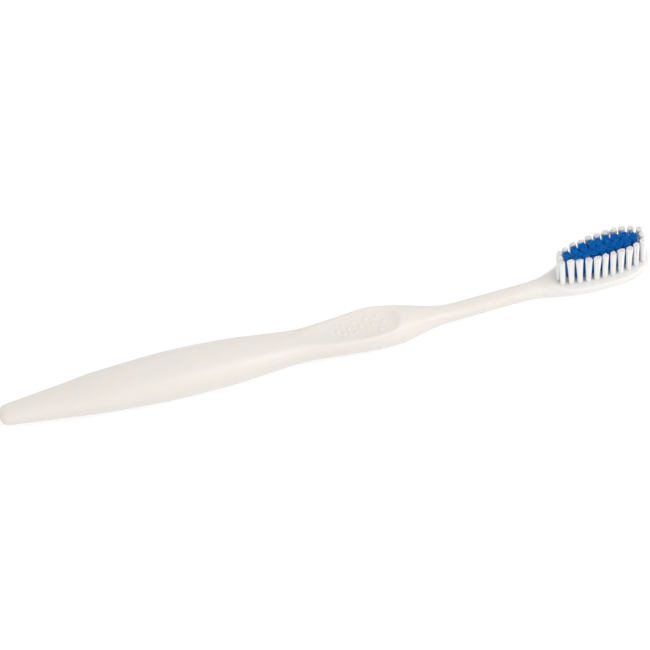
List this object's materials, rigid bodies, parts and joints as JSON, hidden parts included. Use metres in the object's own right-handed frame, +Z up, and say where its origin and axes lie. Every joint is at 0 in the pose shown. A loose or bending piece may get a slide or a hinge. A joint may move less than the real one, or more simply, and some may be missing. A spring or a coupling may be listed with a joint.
{
  "type": "manual toothbrush",
  "caption": "Manual toothbrush: a one-piece off-white plastic handle with a dotted thumb dish and slim neck, and a head of blue tufts ringed by white tufts.",
  "frame": {"origin": "on the table under the middle of the brush's length, as it lies on its back", "axes": "+X from the butt to the tip of the head, +Y across the brush, +Z up, the way the bristles point"},
  "size_m": [0.19, 0.0142, 0.023],
  "materials": {
    "handle_plastic": "off-white polypropylene, moulded, softly glossy and slightly translucent",
    "white_nylon": "clear white nylon filament with rounded ends",
    "blue_nylon": "dyed blue nylon filament with rounded ends",
    "anchor_brass": "flat rolled wire with sheared ends"
  },
  "bodies": {
    "root": {"handle": "handle_plastic", "tuft_anchors": "anchor_brass", "white_tuft_01": "white_nylon", "white_tuft_02": "white_nylon", "white_tuft_03": "white_nylon", "white_tuft_04": "white_nylon", "white_tuft_05": "white_nylon", "white_tuft_06": "white_nylon", "white_tuft_07": "white_nylon", "white_tuft_08": "white_nylon", "white_tuft_09": "white_nylon", "white_tuft_10": "white_nylon", "white_tuft_11": "white_nylon", "white_tuft_12": "white_nylon", "white_tuft_13": "white_nylon", "white_tuft_14": "white_nylon", "white_tuft_15": "white_nylon", "white_tuft_16": "white_nylon", "white_tuft_17": "white_nylon", "white_tuft_18": "white_nylon", "white_tuft_19": "white_nylon", "white_tuft_20": "white_nylon", "white_tuft_21": "white_nylon", "white_tuft_22": "white_nylon", "white_tuft_23": "white_nylon", "white_tuft_24": "white_nylon", "blue_tuft_01": "blue_nylon", "blue_tuft_02": "blue_nylon", "blue_tuft_03": "blue_nylon", "blue_tuft_04": "blue_nylon", "blue_tuft_05": "blue_nylon", "blue_tuft_06": "blue_nylon", "blue_tuft_07": "blue_nylon", "blue_tuft_08": "blue_nylon", "blue_tuft_09": "blue_nylon", "blue_tuft_10": "blue_nylon", "blue_tuft_11": "blue_nylon", "blue_tuft_12": "blue_nylon", "blue_tuft_13": "blue_nylon", "blue_tuft_14": "blue_nylon", "blue_tuft_15": "blue_nylon", "blue_tuft_16": "blue_nylon"}
  },
  "joints": []
}
